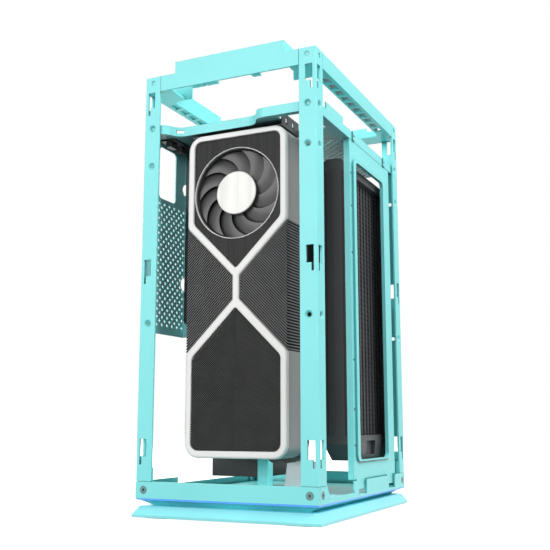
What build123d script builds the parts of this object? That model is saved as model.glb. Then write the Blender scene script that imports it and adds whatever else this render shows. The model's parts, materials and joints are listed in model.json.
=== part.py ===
from build123d import *
import os
from math import cos, radians, sin

os.makedirs("parts", exist_ok=True)

# Frame: X runs along the front face, Y runs back from it, Z is up.
# The origin is on the floor, under the middle of the foot.

# Overall frame
frame_width = 202.0
frame_depth = 270.5
frame_height = 450.0
frame_sheet = 2.0
panel_sheet = 1.2
seam = 0.4
fold_radius = 0.9
seat_gap = 0.2

# Foot: rubber pads, flared plinth, neck and light strip
pad_proud = 1.0
pad_length = 28.0
pad_width = 11.0
pad_pocket = 1.5
pad_inset = 9.0
plinth_height = 11.1
plinth_edge = 2.6
plinth_outset = 2.4
plinth_slope = 6.0
plinth_opening_margin = 26.0
neck_height = 5.9
neck_bottom_inset = 14.0
neck_top_inset = 3.0
neck_opening_margin = 22.0
strip_height = 1.6
strip_inset = 0.7
strip_width = 6.0

# Base pan
pan_wall = 16.5
pan_screw_height = 8.3
pan_cut_front = -116.2
pan_cut_back = -39.0
pan_cut_floor = 4.9
pan_cut_slant = 9.9
pan_left_cut_y = -22.0
pan_left_cut_size = (156.0, 6.5)
screw_inset = 9.5
screw_shank_radius = 2.0
screw_hole_radius = 2.2
thread_play = 0.05
countersink_radius = 4.1
countersink_angle = 90.0
screw_socket_radius = 1.5
screw_end = 1.5

# Corner posts
post_leg = 18.5
tongue_overlap = 14.0
panel_hole_heights = (391.0, 348.6, 177.7)
rivet_height = 443.4
rivet_radius = 2.6
rivet_depth = 0.6
keyhole_tops = (432.3, 245.9, 59.1)
keyhole_inset = 3.7
keyhole_width = 8.2
keyhole_length = 17.7
keyhole_stem_width = 2.5
keyhole_stem_length = 8.1

# Top frame
rail_height = 17.2
lip_width = 15.0
rear_lip_width = 26.0
front_web_depth = 35.0
front_web_width = 30.0
upstand_reach = 39.0
opening_corner_radius = 5.0
front_rise_height = 13.0
front_rise_left = -64.0
front_rise_right = 65.5
rise_return = 35.0
left_rise_height = 11.0
left_rise_front = -60.0
left_rise_back = 32.0
rear_rise_height = 4.6
rear_rise_half = 62.0
corner_tab_length = 14.0
lip_slot_count = 10
lip_slot_pitch = 19.0
lip_slot_length = 13.0
lip_slot_width = 8.5
lip_slot_skew = 4.0
lip_slot_inset = 8.75
hook_tabs = ((-46.0, 16.0), (-28.0, 14.0), (27.0, 9.0))
hook_tab_depth = 7.0

# Shelf under the top opening
shelf_height = 384.4
shelf_flange = 10.2
shelf_back = 122.0
shelf_front_dip = 17.5
shelf_dip_left = -86.0
shelf_dip_right = 41.0
shelf_bend_radius = 13.0
shelf_bend_angle = 64.0
shelf_mesh_pitch = 10.0
shelf_mesh_radius = 3.3
shelf_mesh_rows = 16
shelf_mesh_columns = 5
shelf_mesh_inset = 33.0
shelf_mesh_y = 42.0
card_cut_left = 53.8
card_cut_inset = 13.0
card_cut_front = -126.0
card_cut_back = -74.0
bay_cut_centre = (-35.0, 30.0)
bay_cut_size = (90.0, 130.0)
shelf_slot_x = -67.0
shelf_slot_size = (8.0, 3.6)
shelf_rise_front = -103.0
shelf_rise_back = -53.0
shelf_rise = 7.4
shelf_clips = (-23.0, 84.6)
clip_length = 6.0
clip_proud = 1.6

# Side bracket: perforated left wall folded into the middle wall
bracket_bottom = 170.2
middle_wall_y = -53.0
middle_wall_right = 30.0
side_window_front = -109.6
side_window_back = -75.0
side_window_bottom = 321.0
side_window_top = 380.0
side_window_radius = 5.0
mesh_front = -108.0
mesh_top = 315.0
mesh_pitch_y = 10.2
mesh_pitch_z = 8.4
mesh_columns = 6
mesh_rows = 17
mesh_radius = 1.9
fold_cut_heights = (342.5, 231.0)
fold_cut_radius = 7.5

# Riser housing on the middle wall
riser_margin = 4.6
riser_right = 27.0
riser_bottom = 184.0
riser_depth = 7.5

# Middle upright channel
upright_left = -3.6
upright_width = 13.4
upright_depth = 10.8

# Small bracket on the pan floor
floor_bracket_y = -40.0
floor_bracket_x = (22.0, 60.0)
floor_bracket_height = 35.5
floor_bracket_slant = 4.5
floor_bracket_foot = 12.0

# Power supply
supply_width = 63.5
supply_length = 125.0
supply_height = 100.0
supply_bottom = 18.1
supply_left = -64.7
supply_gap = 0.25
supply_grille_radii = (42.0, 30.0, 18.0)
supply_grille_gap = 6.0
supply_grille_depth = 2.0

# Port board
port_board_inset = 15.0
port_board_y = -92.0
port_board_size = (20.0, 44.0)
port_places = (-104.0, -82.0)
port_width = 7.0
port_length = 13.0
port_height = 5.6

# Graphics card
card_centre_x = 4.0
card_width = 115.2
card_bottom = 40.2
card_length = 338.8
card_front_y = -120.25
card_corner_radius = 15.0
bezel_depth = 5.0
bezel_bar = 6.8
bezel_top_bar = 5.8
bezel_bottom_bar = 7.2
bezel_inner_radius = 8.0
upper_vertex = 231.6
lower_vertex = 191.9
neck_half_width = 3.9
neck_top = 224.4
neck_bottom = 199.6
bezel_elbow_radius = 9.0
bezel_vertex_radius = 3.0
bezel_chamfer = 1.2
elbow_share = 0.4
vertex_share = 1.4
shell_sheet = 2.0
shell_back_y = -80.0
fan_panel_recess = 2.2
fan_panel_sheet = 1.6
fin_recess = 1.0
fin_pitch = 3.03
fin_sheet = 1.4
fin_root = 4.0
grille_pitch = 2.38
grille_first = 3.57
grille_sheet = 1.2
grille_depth = 2.6
grille_root = 2.0
rear_shroud_depth = 18.0
lobe_centres = (24.0, 38.5)
lobe_height = 43.0
lobe_radius = 8.0
board_sheet = 1.6
board_margin = (3.0, 4.0)
board_corner = 13.0
shroud_margin = (1.0, 2.0)
card_bracket_sheet = 1.2
card_bracket_length = 106.0
card_bracket_width = 43.0
card_tab_height = 15.0
card_tab_holes = (-105.0, -88.0)
card_tab_hole_width = 4.4
port_slot_pitch = (14.0, 9.0)
port_slot_size = (10.0, 4.0)
port_slot_columns = 6
card_bracket_setback = 4.0

# Graphics card fan
card_fan_x = 3.0
card_fan_z = 312.5
card_fan_radius = 49.2
card_ring_width = 0.8
card_hub_radius = 23.0
card_blades = 11
axle_radius = 2.0
axle_play = 0.05

# Radiator and its two fans
radiator_front = -30.0
radiator_width = 140.0
radiator_inset = 9.5
radiator_thickness = 28.0
core_bottom = 62.0
core_top = 350.0
upper_tank_height = 14.5
lower_tank_height = 26.0
tank_straight = 9.1
tank_round = 9.0
tank_notch_y = 63.0
tank_notch_size = (9.0, 6.0)
tank_foot_offset = 2.0
tank_foot_taper = 8.0
tank_plug_y = 42.0
tank_plug_size = (30.0, 15.0)
tank_plug_drop = 6.0
tank_plug_depth = 5.0
tube_count = 13
tube_width = 4.6
core_recess = 6.0
tube_proud = 1.0
channel_sheet = 1.5
channel_flange = 4.0
gusset_reach = 9.0
gusset_height = 25.0
fan_size = 139.6
fan_pitch = 140.0
fan_depth = 25.0
fan_bore_radius = 66.0
fan_hub_radius = 21.0
fan_tip_radius = 64.5
fan_blades = 9
fan_centre_height = 206.0
fan_corner_radius = 6.0
fan_hole_spacing = 124.5
fan_hole_radius = 2.2
fan_strut_width = 5.0
fan_strut_angle = 45.0
fan_strut_root = 1.0
fan_rotor_gap = 1.0
motor_seat_sheet = 3.0
fan_axle_length = 11.0
fan_play = 0.7

# Radiator bracket in the right side
side_plate_inset = 2.5
side_plate_sheet = 1.5
side_plate_front = -33.9
side_plate_back = 105.7
side_plate_bottom = 17.4
side_lip_end = -28.0
radiator_play = 0.3
side_window_y = (-19.5, 76.0)
side_window_z = (37.0, 361.0)
radiator_window_radius = 6.0
ring_proud = 2.5
ring_side_margin = 7.5
ring_end_margin = 1.5
bracket_hole_y = -29.5
bracket_hole_heights = (345.9, 308.7, 256.8, 141.0, 89.1, 52.0)
bracket_hole_radius = 1.5
foot_tabs = ((-27.0, -2.2), (74.0, 96.7))
foot_tab_bottom = 7.0
notch_floor = 2.4


def level(height):
    # Heights are given from the underside of the base pan.
    return pan_base + height


def finish(part, name):
    part.label = name
    export_step(part, f"parts/{name}.step")


def mirrored(part, plane):
    with BuildPart() as copy:
        mirror(part, about=plane)
    return copy.part


def finish_corners(front_right, name):
    # The piece drawn at the front right corner stands at all four corners.
    front_left = mirrored(front_right, Plane.YZ)
    finish(front_right, f"{name}_front_right")
    finish(front_left, f"{name}_front_left")
    finish(mirrored(front_right, Plane.XZ), f"{name}_rear_right")
    finish(mirrored(front_left, Plane.XZ), f"{name}_rear_left")


pan_base = pad_proud + plinth_height + neck_height + strip_height
half_width = frame_width / 2
half_depth = frame_depth / 2
plinth_top = pad_proud + plinth_height
strip_bottom = plinth_top + neck_height

front_plane = Plane(origin=(0, -half_depth, 0), x_dir=(1, 0, 0), z_dir=(0, -1, 0))
rear_plane = Plane(origin=(0, half_depth, 0), x_dir=(-1, 0, 0), z_dir=(0, 1, 0))
right_plane = Plane(origin=(half_width, 0, 0), x_dir=(0, 1, 0), z_dir=(1, 0, 0))
left_plane = Plane(origin=(-half_width, 0, 0), x_dir=(0, -1, 0), z_dir=(-1, 0, 0))

# Plinth: a flared ring that the neck stands on
with BuildPart() as plinth:
    with BuildSketch(Plane.XY.offset(pad_proud)):
        Rectangle(frame_width + 2 * plinth_outset, frame_depth + 2 * plinth_outset)
    extrude(amount=plinth_edge)
    with BuildSketch(Plane.XY.offset(pad_proud + plinth_edge)):
        Rectangle(frame_width + 2 * plinth_outset, frame_depth + 2 * plinth_outset)
    with BuildSketch(Plane.XY.offset(plinth_top)):
        Rectangle(
            frame_width + 2 * (plinth_outset - plinth_slope),
            frame_depth + 2 * (plinth_outset - plinth_slope),
        )
    loft()
    with BuildSketch(Plane.XY.offset(pad_proud)):
        RectangleRounded(
            frame_width - 2 * plinth_opening_margin,
            frame_depth - 2 * plinth_opening_margin,
            opening_corner_radius,
        )
    extrude(amount=plinth_height, mode=Mode.SUBTRACT)
    with BuildSketch(Plane.XY.offset(pad_proud)):
        with GridLocations(
            frame_width - 2 * pad_inset - pad_length, frame_depth - 2 * pad_inset, 2, 2
        ):
            RectangleRounded(pad_length, pad_width, pad_width / 3)
    extrude(amount=pad_pocket, mode=Mode.SUBTRACT)
finish(plinth.part, "plinth")

# Rubber pads, each in a pocket of the plinth
with BuildPart() as foot_pad:
    with BuildSketch(Plane.XY):
        with Locations((half_width - pad_inset - pad_length / 2, pad_inset - half_depth)):
            RectangleRounded(
                pad_length - 2 * seat_gap, pad_width - 2 * seat_gap, pad_width / 3 - seat_gap
            )
    extrude(amount=pad_proud + pad_pocket)
finish_corners(foot_pad.part, "foot_pad")

# Neck: an undercut ring between the plinth and the pan
with BuildPart() as neck:
    with BuildSketch(Plane.XY.offset(plinth_top)):
        Rectangle(frame_width - 2 * neck_bottom_inset, frame_depth - 2 * neck_bottom_inset)
    with BuildSketch(Plane.XY.offset(strip_bottom)):
        Rectangle(frame_width - 2 * neck_top_inset, frame_depth - 2 * neck_top_inset)
    loft()
    with BuildSketch(Plane.XY.offset(plinth_top)):
        RectangleRounded(
            frame_width - 2 * neck_opening_margin,
            frame_depth - 2 * neck_opening_margin,
            opening_corner_radius,
        )
    extrude(amount=neck_height, mode=Mode.SUBTRACT)
finish(neck.part, "neck")

# Light strip: a thin ring right under the pan
with BuildPart() as light_strip:
    with BuildSketch(Plane.XY.offset(strip_bottom)):
        Rectangle(frame_width - 2 * strip_inset, frame_depth - 2 * strip_inset)
        Rectangle(
            frame_width - 2 * (strip_inset + strip_width),
            frame_depth - 2 * (strip_inset + strip_width),
            mode=Mode.SUBTRACT,
        )
    extrude(amount=strip_height)
finish(light_strip.part, "light_strip")

# Base pan: a folded tray with screw holes near its corners and cut-outs in its side walls
with BuildPart() as base_pan:
    with BuildSketch(Plane.XY.offset(pan_base)):
        Rectangle(frame_width, frame_depth)
    extrude(amount=pan_wall)
    with BuildSketch(Plane.XY.offset(pan_base + frame_sheet)):
        Rectangle(frame_width - 2 * frame_sheet, frame_depth - 2 * frame_sheet)
    extrude(amount=pan_wall, mode=Mode.SUBTRACT)
    # open folds beside the front and rear walls
    with BuildSketch(Plane.XY.offset(level(frame_sheet))):
        with GridLocations(
            frame_width - frame_sheet, frame_depth - 2 * frame_sheet - seam, 2, 2
        ):
            Rectangle(frame_sheet, seam)
    extrude(amount=pan_wall, mode=Mode.SUBTRACT)
    # cut-outs of the right wall, the first with a slanted end
    with BuildSketch(right_plane):
        with BuildLine():
            Polyline(
                (pan_cut_front, level(pan_wall)),
                (pan_cut_back, level(pan_wall)),
                (pan_cut_back, level(pan_cut_floor)),
                (pan_cut_front + pan_cut_slant, level(pan_cut_floor)),
                close=True,
            )
        make_face()
        for tab_front, tab_back in foot_tabs:
            with Locations(((tab_front + tab_back) / 2, level(notch_floor))):
                Rectangle(
                    tab_back - tab_front,
                    pan_wall - notch_floor,
                    align=(Align.CENTER, Align.MIN),
                )
    extrude(amount=-frame_sheet, mode=Mode.SUBTRACT)
    # the left wall is lower behind its front stretch
    with BuildSketch(left_plane):
        with Locations((pan_left_cut_y, level(pan_wall))):
            Rectangle(*pan_left_cut_size, align=(Align.CENTER, Align.MAX))
    extrude(amount=-frame_sheet, mode=Mode.SUBTRACT)
    for wall, reach in (
        (front_plane, half_width - screw_inset),
        (rear_plane, half_width - screw_inset),
        (right_plane, half_depth - screw_inset),
        (left_plane, half_depth - screw_inset),
    ):
        with Locations(wall):
            with Locations((-reach, level(pan_screw_height)), (reach, level(pan_screw_height))):
                CounterSinkHole(
                    screw_hole_radius,
                    countersink_radius,
                    depth=frame_sheet,
                    counter_sink_angle=countersink_angle,
                )
finish(base_pan.part, "base_pan")


# Corner post: an angle with keyholes and countersunk holes, and a tongue behind the pan wall
tongue_bottom = level(frame_sheet) + seat_gap
tongue_height = pan_wall - frame_sheet - seat_gap + tongue_overlap
post_bottom = level(pan_wall) + seam
front_flange = Plane(origin=(half_width, -half_depth, 0), x_dir=(1, 0, 0), z_dir=(0, -1, 0))
side_flange = Plane(origin=(half_width, -half_depth, 0), x_dir=(0, 1, 0), z_dir=(1, 0, 0))
with BuildPart() as post:
    with BuildSketch(Plane.XY.offset(post_bottom)):
        with Locations((half_width, -half_depth)):
            Rectangle(post_leg, post_leg, align=(Align.MAX, Align.MIN))
        with Locations((half_width - frame_sheet, -half_depth + frame_sheet)):
            Rectangle(post_leg, post_leg, align=(Align.MAX, Align.MIN), mode=Mode.SUBTRACT)
    extrude(amount=frame_height - pan_wall - seam)
    outer_fold = post.edges().filter_by(Axis.Z).sort_by_distance(
        (half_width, -half_depth, level(frame_height / 2))
    )[0]
    fillet(outer_fold, radius=fold_radius)
    with BuildSketch(Plane.XY.offset(tongue_bottom)):
        tongue_leg = post_leg - frame_sheet
        with Locations((half_width - frame_sheet, -half_depth + frame_sheet)):
            Rectangle(tongue_leg, tongue_leg, align=(Align.MAX, Align.MIN))
        with Locations((half_width - 2 * frame_sheet, -half_depth + 2 * frame_sheet)):
            Rectangle(tongue_leg, tongue_leg, align=(Align.MAX, Align.MIN), mode=Mode.SUBTRACT)
    extrude(amount=tongue_height)
    for flange, inward in ((front_flange, -1), (side_flange, 1)):
        with BuildSketch(flange):
            for top in keyhole_tops:
                with Locations((inward * (keyhole_inset + keyhole_width / 2), level(top))):
                    Rectangle(keyhole_width, keyhole_length, align=(Align.CENTER, Align.MAX))
                stem_x = inward * (keyhole_inset + keyhole_stem_width / 2)
                with Locations((stem_x, level(top - keyhole_length))):
                    Rectangle(
                        keyhole_stem_width,
                        keyhole_stem_length,
                        align=(Align.CENTER, Align.MAX),
                    )
        extrude(amount=-2 * frame_sheet, mode=Mode.SUBTRACT)
        with Locations(flange):
            with Locations(*[(inward * screw_inset, level(z)) for z in panel_hole_heights]):
                CounterSinkHole(
                    screw_hole_radius,
                    countersink_radius,
                    depth=frame_sheet,
                    counter_sink_angle=countersink_angle,
                )
            with Locations((inward * screw_inset, level(pan_screw_height))):
                Hole(screw_shank_radius + thread_play, depth=2 * frame_sheet + seam)
            with Locations((inward * screw_inset, level(rivet_height))):
                Hole(rivet_radius, depth=rivet_depth)
finish_corners(post.part, "post")

# Countersunk screws: eight through the pan walls into the tongues of the posts
screw_length = 2 * frame_sheet + screw_end
with BuildPart() as pan_screws:
    head_height = frame_sheet
    head_radius = screw_shank_radius + head_height
    for wall, reach in (
        (front_plane, half_width - screw_inset),
        (rear_plane, half_width - screw_inset),
        (right_plane, half_depth - screw_inset),
        (left_plane, half_depth - screw_inset),
    ):
        for side in (-1, 1):
            seat = Plane(
                origin=wall.from_local_coords((side * reach, level(pan_screw_height), 0)),
                x_dir=wall.x_dir,
                z_dir=wall.z_dir,
            )
            with BuildSketch(seat.offset(-screw_length)):
                Circle(screw_shank_radius)
            extrude(amount=screw_length)
            with BuildSketch(seat.offset(-head_height)):
                Circle(screw_shank_radius)
            with BuildSketch(seat):
                Circle(head_radius)
            loft()
            with BuildSketch(seat):
                RegularPolygon(screw_socket_radius, 6)
            extrude(amount=-head_height, mode=Mode.SUBTRACT)
finish(pan_screws.part, "pan_screws")

# Top frame: one folded ring with an outer rail, a slotted lip and a raised front
rail_bottom = level(frame_height - rail_height)
rail_between_x = frame_width - 2 * (post_leg + seam)
rail_between_y = frame_depth - 2 * (post_leg + seam)
opening_half_x = half_width - lip_width
opening_front = -half_depth + front_web_depth
opening_back = half_depth - rear_lip_width
with BuildPart() as top_frame:
    with BuildSketch(Plane.XY.offset(rail_bottom)):
        inside_posts = frame_sheet + seat_gap
        Rectangle(frame_width - 2 * inside_posts, frame_depth - 2 * inside_posts)
        Rectangle(rail_between_x, frame_depth)
        Rectangle(frame_width, rail_between_y)
        with Locations((0, (opening_front + opening_back) / 2)):
            RectangleRounded(
                2 * opening_half_x,
                opening_back - opening_front,
                opening_corner_radius,
                mode=Mode.SUBTRACT,
            )
        with Locations((0, -half_depth + frame_sheet)):
            Rectangle(
                2 * (half_width - front_web_width),
                front_web_depth + opening_corner_radius,
                align=(Align.CENTER, Align.MIN),
                mode=Mode.SUBTRACT,
            )
        for tab_left, tab_width in hook_tabs:
            with Locations((tab_left, -half_depth + frame_sheet)):
                Rectangle(tab_width, hook_tab_depth, align=(Align.MIN, Align.MIN))
        # ladder of skewed slots in each side lip
        for side in (-1, 1):
            skew = side * lip_slot_skew / 2
            with Locations((side * (half_width - lip_slot_inset), 0)):
                with GridLocations(0, lip_slot_pitch, 1, lip_slot_count):
                    Polygon(
                        (-lip_slot_width / 2, -lip_slot_length / 2),
                        (lip_slot_width / 2, -lip_slot_length / 2 + skew),
                        (lip_slot_width / 2, lip_slot_length / 2 + skew),
                        (-lip_slot_width / 2, lip_slot_length / 2),
                        align=None,
                        mode=Mode.SUBTRACT,
                    )
    extrude(amount=frame_sheet)
    # outer walls between the posts
    with BuildSketch(Plane.XY.offset(rail_bottom)):
        with GridLocations(0, frame_depth - frame_sheet, 1, 2):
            Rectangle(rail_between_x, frame_sheet)
        with GridLocations(frame_width - frame_sheet, 0, 2, 1):
            Rectangle(frame_sheet, rail_between_y)
    extrude(amount=rail_height)
    # joggled tabs behind the posts
    with BuildSketch(Plane.XY.offset(rail_bottom)):
        tab_x = rail_between_x / 2 + corner_tab_length / 2 - frame_sheet
        tab_y = half_depth - frame_sheet * 1.5 - seat_gap
        with GridLocations(2 * tab_x, 2 * tab_y, 2, 2):
            Rectangle(corner_tab_length, frame_sheet)
        side_tab_x = half_width - frame_sheet * 1.5 - seat_gap
        side_tab_y = rail_between_y / 2 + corner_tab_length / 2 - frame_sheet
        with GridLocations(2 * side_tab_x, 2 * side_tab_y, 2, 2):
            Rectangle(frame_sheet, corner_tab_length)
    extrude(amount=rail_height - frame_sheet)
    # upstands behind the front webs
    with BuildSketch(Plane.XY.offset(rail_bottom)):
        with Locations((0, opening_front - frame_sheet / 2)):
            with GridLocations(2 * (half_width - upstand_reach / 2 - 3 * frame_sheet), 0, 2, 1):
                Rectangle(upstand_reach - 6 * frame_sheet, frame_sheet)
    extrude(amount=rail_height - frame_sheet)
    # raised front with a short return at each end
    with BuildSketch(Plane.XY.offset(level(frame_height))):
        with Locations((front_rise_left, -half_depth)):
            Rectangle(
                front_rise_right - front_rise_left, frame_sheet, align=(Align.MIN, Align.MIN)
            )
            Rectangle(frame_sheet, rise_return, align=(Align.MIN, Align.MIN))
        with Locations((front_rise_right, -half_depth)):
            Rectangle(frame_sheet, rise_return, align=(Align.MAX, Align.MIN))
    extrude(amount=front_rise_height)
    with BuildSketch(Plane.XY.offset(level(frame_height))):
        with Locations((-half_width, left_rise_front)):
            Rectangle(
                frame_sheet, left_rise_back - left_rise_front, align=(Align.MIN, Align.MIN)
            )
    extrude(amount=left_rise_height)
    with BuildSketch(Plane.XY.offset(level(frame_height))):
        with Locations((0, half_depth)):
            Rectangle(2 * rear_rise_half, frame_sheet, align=(Align.CENTER, Align.MAX))
    extrude(amount=rear_rise_height)
finish(top_frame.part, "top_frame")

# Shelf: a flanged plate whose front edge swings back and forth in tangent arcs
shelf_half = half_width - frame_sheet - seat_gap
shelf_front = -half_depth + frame_sheet + seat_gap
with BuildPart() as io_shelf:
    with BuildSketch(Plane.XY.offset(level(shelf_height))) as shelf_outline:
        with BuildLine():
            start = Line((-shelf_half, shelf_front), (shelf_dip_left, shelf_front))
            down_1 = JernArc(start @ 1, (1, 0), shelf_bend_radius, shelf_bend_angle)
            slope_1 = Line(
                down_1 @ 1,
                (down_1 @ 1)
                + (down_1 % 1)
                * (
                    (shelf_front_dip - 2 * shelf_bend_radius * (1 - cos(radians(shelf_bend_angle))))
                    / sin(radians(shelf_bend_angle))
                ),
            )
            down_2 = JernArc(slope_1 @ 1, slope_1 % 1, shelf_bend_radius, -shelf_bend_angle)
            rise_run = down_2.end_point().X - shelf_dip_left
            middle = Line(
                down_2 @ 1, (shelf_dip_right - rise_run, (down_2 @ 1).Y)
            )
            up_1 = JernArc(middle @ 1, (1, 0), shelf_bend_radius, -shelf_bend_angle)
            slope_2 = Line(up_1 @ 1, (up_1 @ 1) + (up_1 % 1) * slope_1.length)
            up_2 = JernArc(slope_2 @ 1, slope_2 % 1, shelf_bend_radius, shelf_bend_angle)
            Line(up_2 @ 1, (shelf_half, (up_2 @ 1).Y))
            Line((shelf_half, (up_2 @ 1).Y), (shelf_half, shelf_back))
            Line((shelf_half, shelf_back), (-shelf_half, shelf_back))
            Line((-shelf_half, shelf_back), (-shelf_half, shelf_front))
        make_face()
    extrude(amount=shelf_flange)
    with BuildSketch(Plane.XY.offset(level(shelf_height) + frame_sheet)):
        offset(shelf_outline.sketch, amount=-panel_sheet, mode=Mode.ADD)
    extrude(amount=shelf_flange, mode=Mode.SUBTRACT)
    # openings: the card bracket, the mainboard bay and the fine mesh over the radiator
    with BuildSketch(Plane.XY.offset(level(shelf_height))):
        with Locations((card_cut_left, card_cut_front)):
            Rectangle(
                half_width - card_cut_inset - card_cut_left,
                card_cut_back - card_cut_front,
                align=(Align.MIN, Align.MIN),
            )
        with Locations(bay_cut_centre):
            RectangleRounded(*bay_cut_size, opening_corner_radius)
        with Locations((half_width - shelf_mesh_inset, shelf_mesh_y)):
            with GridLocations(
                shelf_mesh_pitch, shelf_mesh_pitch, shelf_mesh_columns, shelf_mesh_rows
            ):
                RegularPolygon(shelf_mesh_radius, 6)
            with GridLocations(
                shelf_mesh_pitch, shelf_mesh_pitch, shelf_mesh_columns - 1, shelf_mesh_rows - 1
            ):
                RegularPolygon(shelf_mesh_radius, 6)
    extrude(amount=frame_sheet, mode=Mode.SUBTRACT)
    # raised stretch and two clips on the right flange
    with BuildSketch(Plane.XY.offset(level(shelf_height))):
        with Locations((shelf_half, shelf_rise_front)):
            Rectangle(
                panel_sheet, shelf_rise_back - shelf_rise_front, align=(Align.MAX, Align.MIN)
            )
    extrude(amount=shelf_flange + shelf_rise)
    with BuildSketch(Plane.XY.offset(level(shelf_height))):
        for clip_y in shelf_clips:
            with Locations((shelf_half, clip_y)):
                Rectangle(clip_proud, clip_length, align=(Align.MIN, Align.CENTER))
    extrude(amount=shelf_flange)
    with BuildSketch(right_plane):
        for clip_y in shelf_clips:
            with Locations((clip_y, level(shelf_height + shelf_flange / 2))):
                Circle(bracket_hole_radius)
    extrude(amount=-3 * frame_sheet, mode=Mode.SUBTRACT)
    # small slot in the front flange
    with BuildSketch(front_plane):
        with Locations((shelf_slot_x, level(shelf_height + shelf_flange / 2))):
            Rectangle(*shelf_slot_size)
    extrude(amount=-front_web_depth, mode=Mode.SUBTRACT)
finish(io_shelf.part, "io_shelf")

# Side bracket: the perforated wall and the middle wall are one folded sheet
wall_outer = half_width - frame_sheet - seat_gap
wall_front = -half_depth + frame_sheet + seat_gap
with BuildPart() as side_bracket:
    with BuildSketch(Plane.XY.offset(level(bracket_bottom))):
        with BuildLine():
            FilletPolyline(
                (-wall_outer + panel_sheet / 2, wall_front),
                (-wall_outer + panel_sheet / 2, middle_wall_y - panel_sheet / 2),
                (middle_wall_right, middle_wall_y - panel_sheet / 2),
                radius=1.5 * panel_sheet,
            )
        trace(line_width=panel_sheet)
    extrude(amount=shelf_height - bracket_bottom)
    with BuildSketch(Plane(origin=(-wall_outer, 0, 0), x_dir=(0, 1, 0), z_dir=(1, 0, 0))):
        with Locations(
            (
                (side_window_front + side_window_back) / 2,
                level((side_window_bottom + side_window_top) / 2),
            )
        ):
            RectangleRounded(
                side_window_back - side_window_front,
                side_window_top - side_window_bottom,
                side_window_radius,
            )
        mesh_centre_y = mesh_front + mesh_pitch_y * (mesh_columns - 1) / 2
        mesh_centre_z = mesh_top - mesh_pitch_z * (mesh_rows - 1) / 2
        with Locations((mesh_centre_y, level(mesh_centre_z))):
            with GridLocations(mesh_pitch_y, mesh_pitch_z, mesh_columns, mesh_rows):
                RegularPolygon(mesh_radius, 6)
            with GridLocations(mesh_pitch_y, mesh_pitch_z, mesh_columns - 1, mesh_rows - 1):
                RegularPolygon(mesh_radius, 6)
        with Locations((middle_wall_y, level(fold_cut_heights[0]))):
            RegularPolygon(fold_cut_radius, 6)
        with Locations((middle_wall_y, level(fold_cut_heights[1]))):
            Circle(fold_cut_radius)
    extrude(amount=4 * panel_sheet, mode=Mode.SUBTRACT)
finish(side_bracket.part, "side_bracket")

# Riser housing: the black tray of the riser card, between the card and the middle wall
with BuildPart() as riser_housing:
    carrier = Plane(
        origin=(0, middle_wall_y - panel_sheet, 0), x_dir=(1, 0, 0), z_dir=(0, -1, 0)
    )
    riser_left = panel_sheet + riser_margin - wall_outer
    riser_width = riser_right - riser_left
    with BuildSketch(carrier):
        with Locations(
            ((riser_left + riser_right) / 2, level((riser_bottom + shelf_height) / 2))
        ):
            RectangleRounded(
                riser_width, shelf_height - riser_bottom - 2 * seat_gap, opening_corner_radius
            )
    extrude(amount=riser_depth)
    chamfer(riser_housing.faces().sort_by(Axis.Y)[0].edges(), length=frame_sheet / 2)
finish(riser_housing.part, "riser_housing")

# Middle upright: a rounded channel from the pan floor to the shelf
with BuildPart() as upright:
    with BuildSketch(Plane.XY.offset(level(frame_sheet))):
        with Locations((upright_left, middle_wall_y)):
            Rectangle(upright_width, upright_depth, align=(Align.MIN, Align.MIN))
        with Locations((upright_left + frame_sheet, middle_wall_y + frame_sheet)):
            Rectangle(
                upright_width - 2 * frame_sheet,
                upright_depth,
                align=(Align.MIN, Align.MIN),
                mode=Mode.SUBTRACT,
            )
    extrude(amount=shelf_height - frame_sheet)
    fillet(
        upright.edges().filter_by(Axis.Z).group_by(Axis.Y)[0], radius=frame_sheet * 0.8
    )
finish(upright.part, "upright")

# Small bracket on the pan floor, with a slanted edge
with BuildPart() as floor_bracket:
    bracket_face = Plane(origin=(0, floor_bracket_y, 0), x_dir=(1, 0, 0), z_dir=(0, -1, 0))
    with BuildSketch(bracket_face):
        with BuildLine():
            Polyline(
                (floor_bracket_x[0], level(frame_sheet)),
                (floor_bracket_x[1], level(frame_sheet)),
                (floor_bracket_x[1], level(floor_bracket_height)),
                (floor_bracket_x[0] + floor_bracket_slant, level(floor_bracket_height)),
                close=True,
            )
        make_face()
    extrude(amount=side_plate_sheet)
    with BuildSketch(Plane.XY.offset(level(frame_sheet))):
        with Locations((floor_bracket_x[0], floor_bracket_y)):
            Rectangle(
                floor_bracket_x[1] - floor_bracket_x[0],
                floor_bracket_foot,
                align=(Align.MIN, Align.MIN),
            )
    extrude(amount=side_plate_sheet)
finish(floor_bracket.part, "floor_bracket")

# Power supply: a plain closed box with a fan opening and rounded edges
with BuildPart() as power_supply:
    supply_front = middle_wall_y + upright_depth + supply_gap
    with BuildSketch(Plane.XY.offset(level(supply_bottom))):
        with Locations((supply_left, supply_front)):
            Rectangle(supply_width, supply_length, align=(Align.MIN, Align.MIN))
    extrude(amount=supply_height)
    chamfer(power_supply.edges().filter_by(Axis.Z), length=panel_sheet)
    with BuildSketch(
        Plane(
            origin=(
                supply_left,
                supply_front + supply_length / 2,
                level(supply_bottom + supply_height / 2),
            ),
            x_dir=(0, 1, 0),
            z_dir=(1, 0, 0),
        )
    ):
        for radius in supply_grille_radii:
            Circle(radius)
            Circle(radius - supply_grille_gap, mode=Mode.SUBTRACT)
    extrude(amount=supply_grille_depth, mode=Mode.SUBTRACT)
finish(power_supply.part, "power_supply")


# Outline of the card front: the two pentagons and the two side fields of the crossed frame
card_plane = Plane(
    origin=(card_centre_x, card_front_y, 0), x_dir=(1, 0, 0), z_dir=(0, -1, 0)
)
card_half = card_width / 2
card_top = card_bottom + card_length
inner_half = card_half - bezel_bar
panel_top = card_top - bezel_top_bar
panel_bottom = card_bottom + bezel_bottom_bar
side_upper = neck_top + card_half - neck_half_width
side_lower = neck_bottom - card_half + neck_half_width


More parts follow.
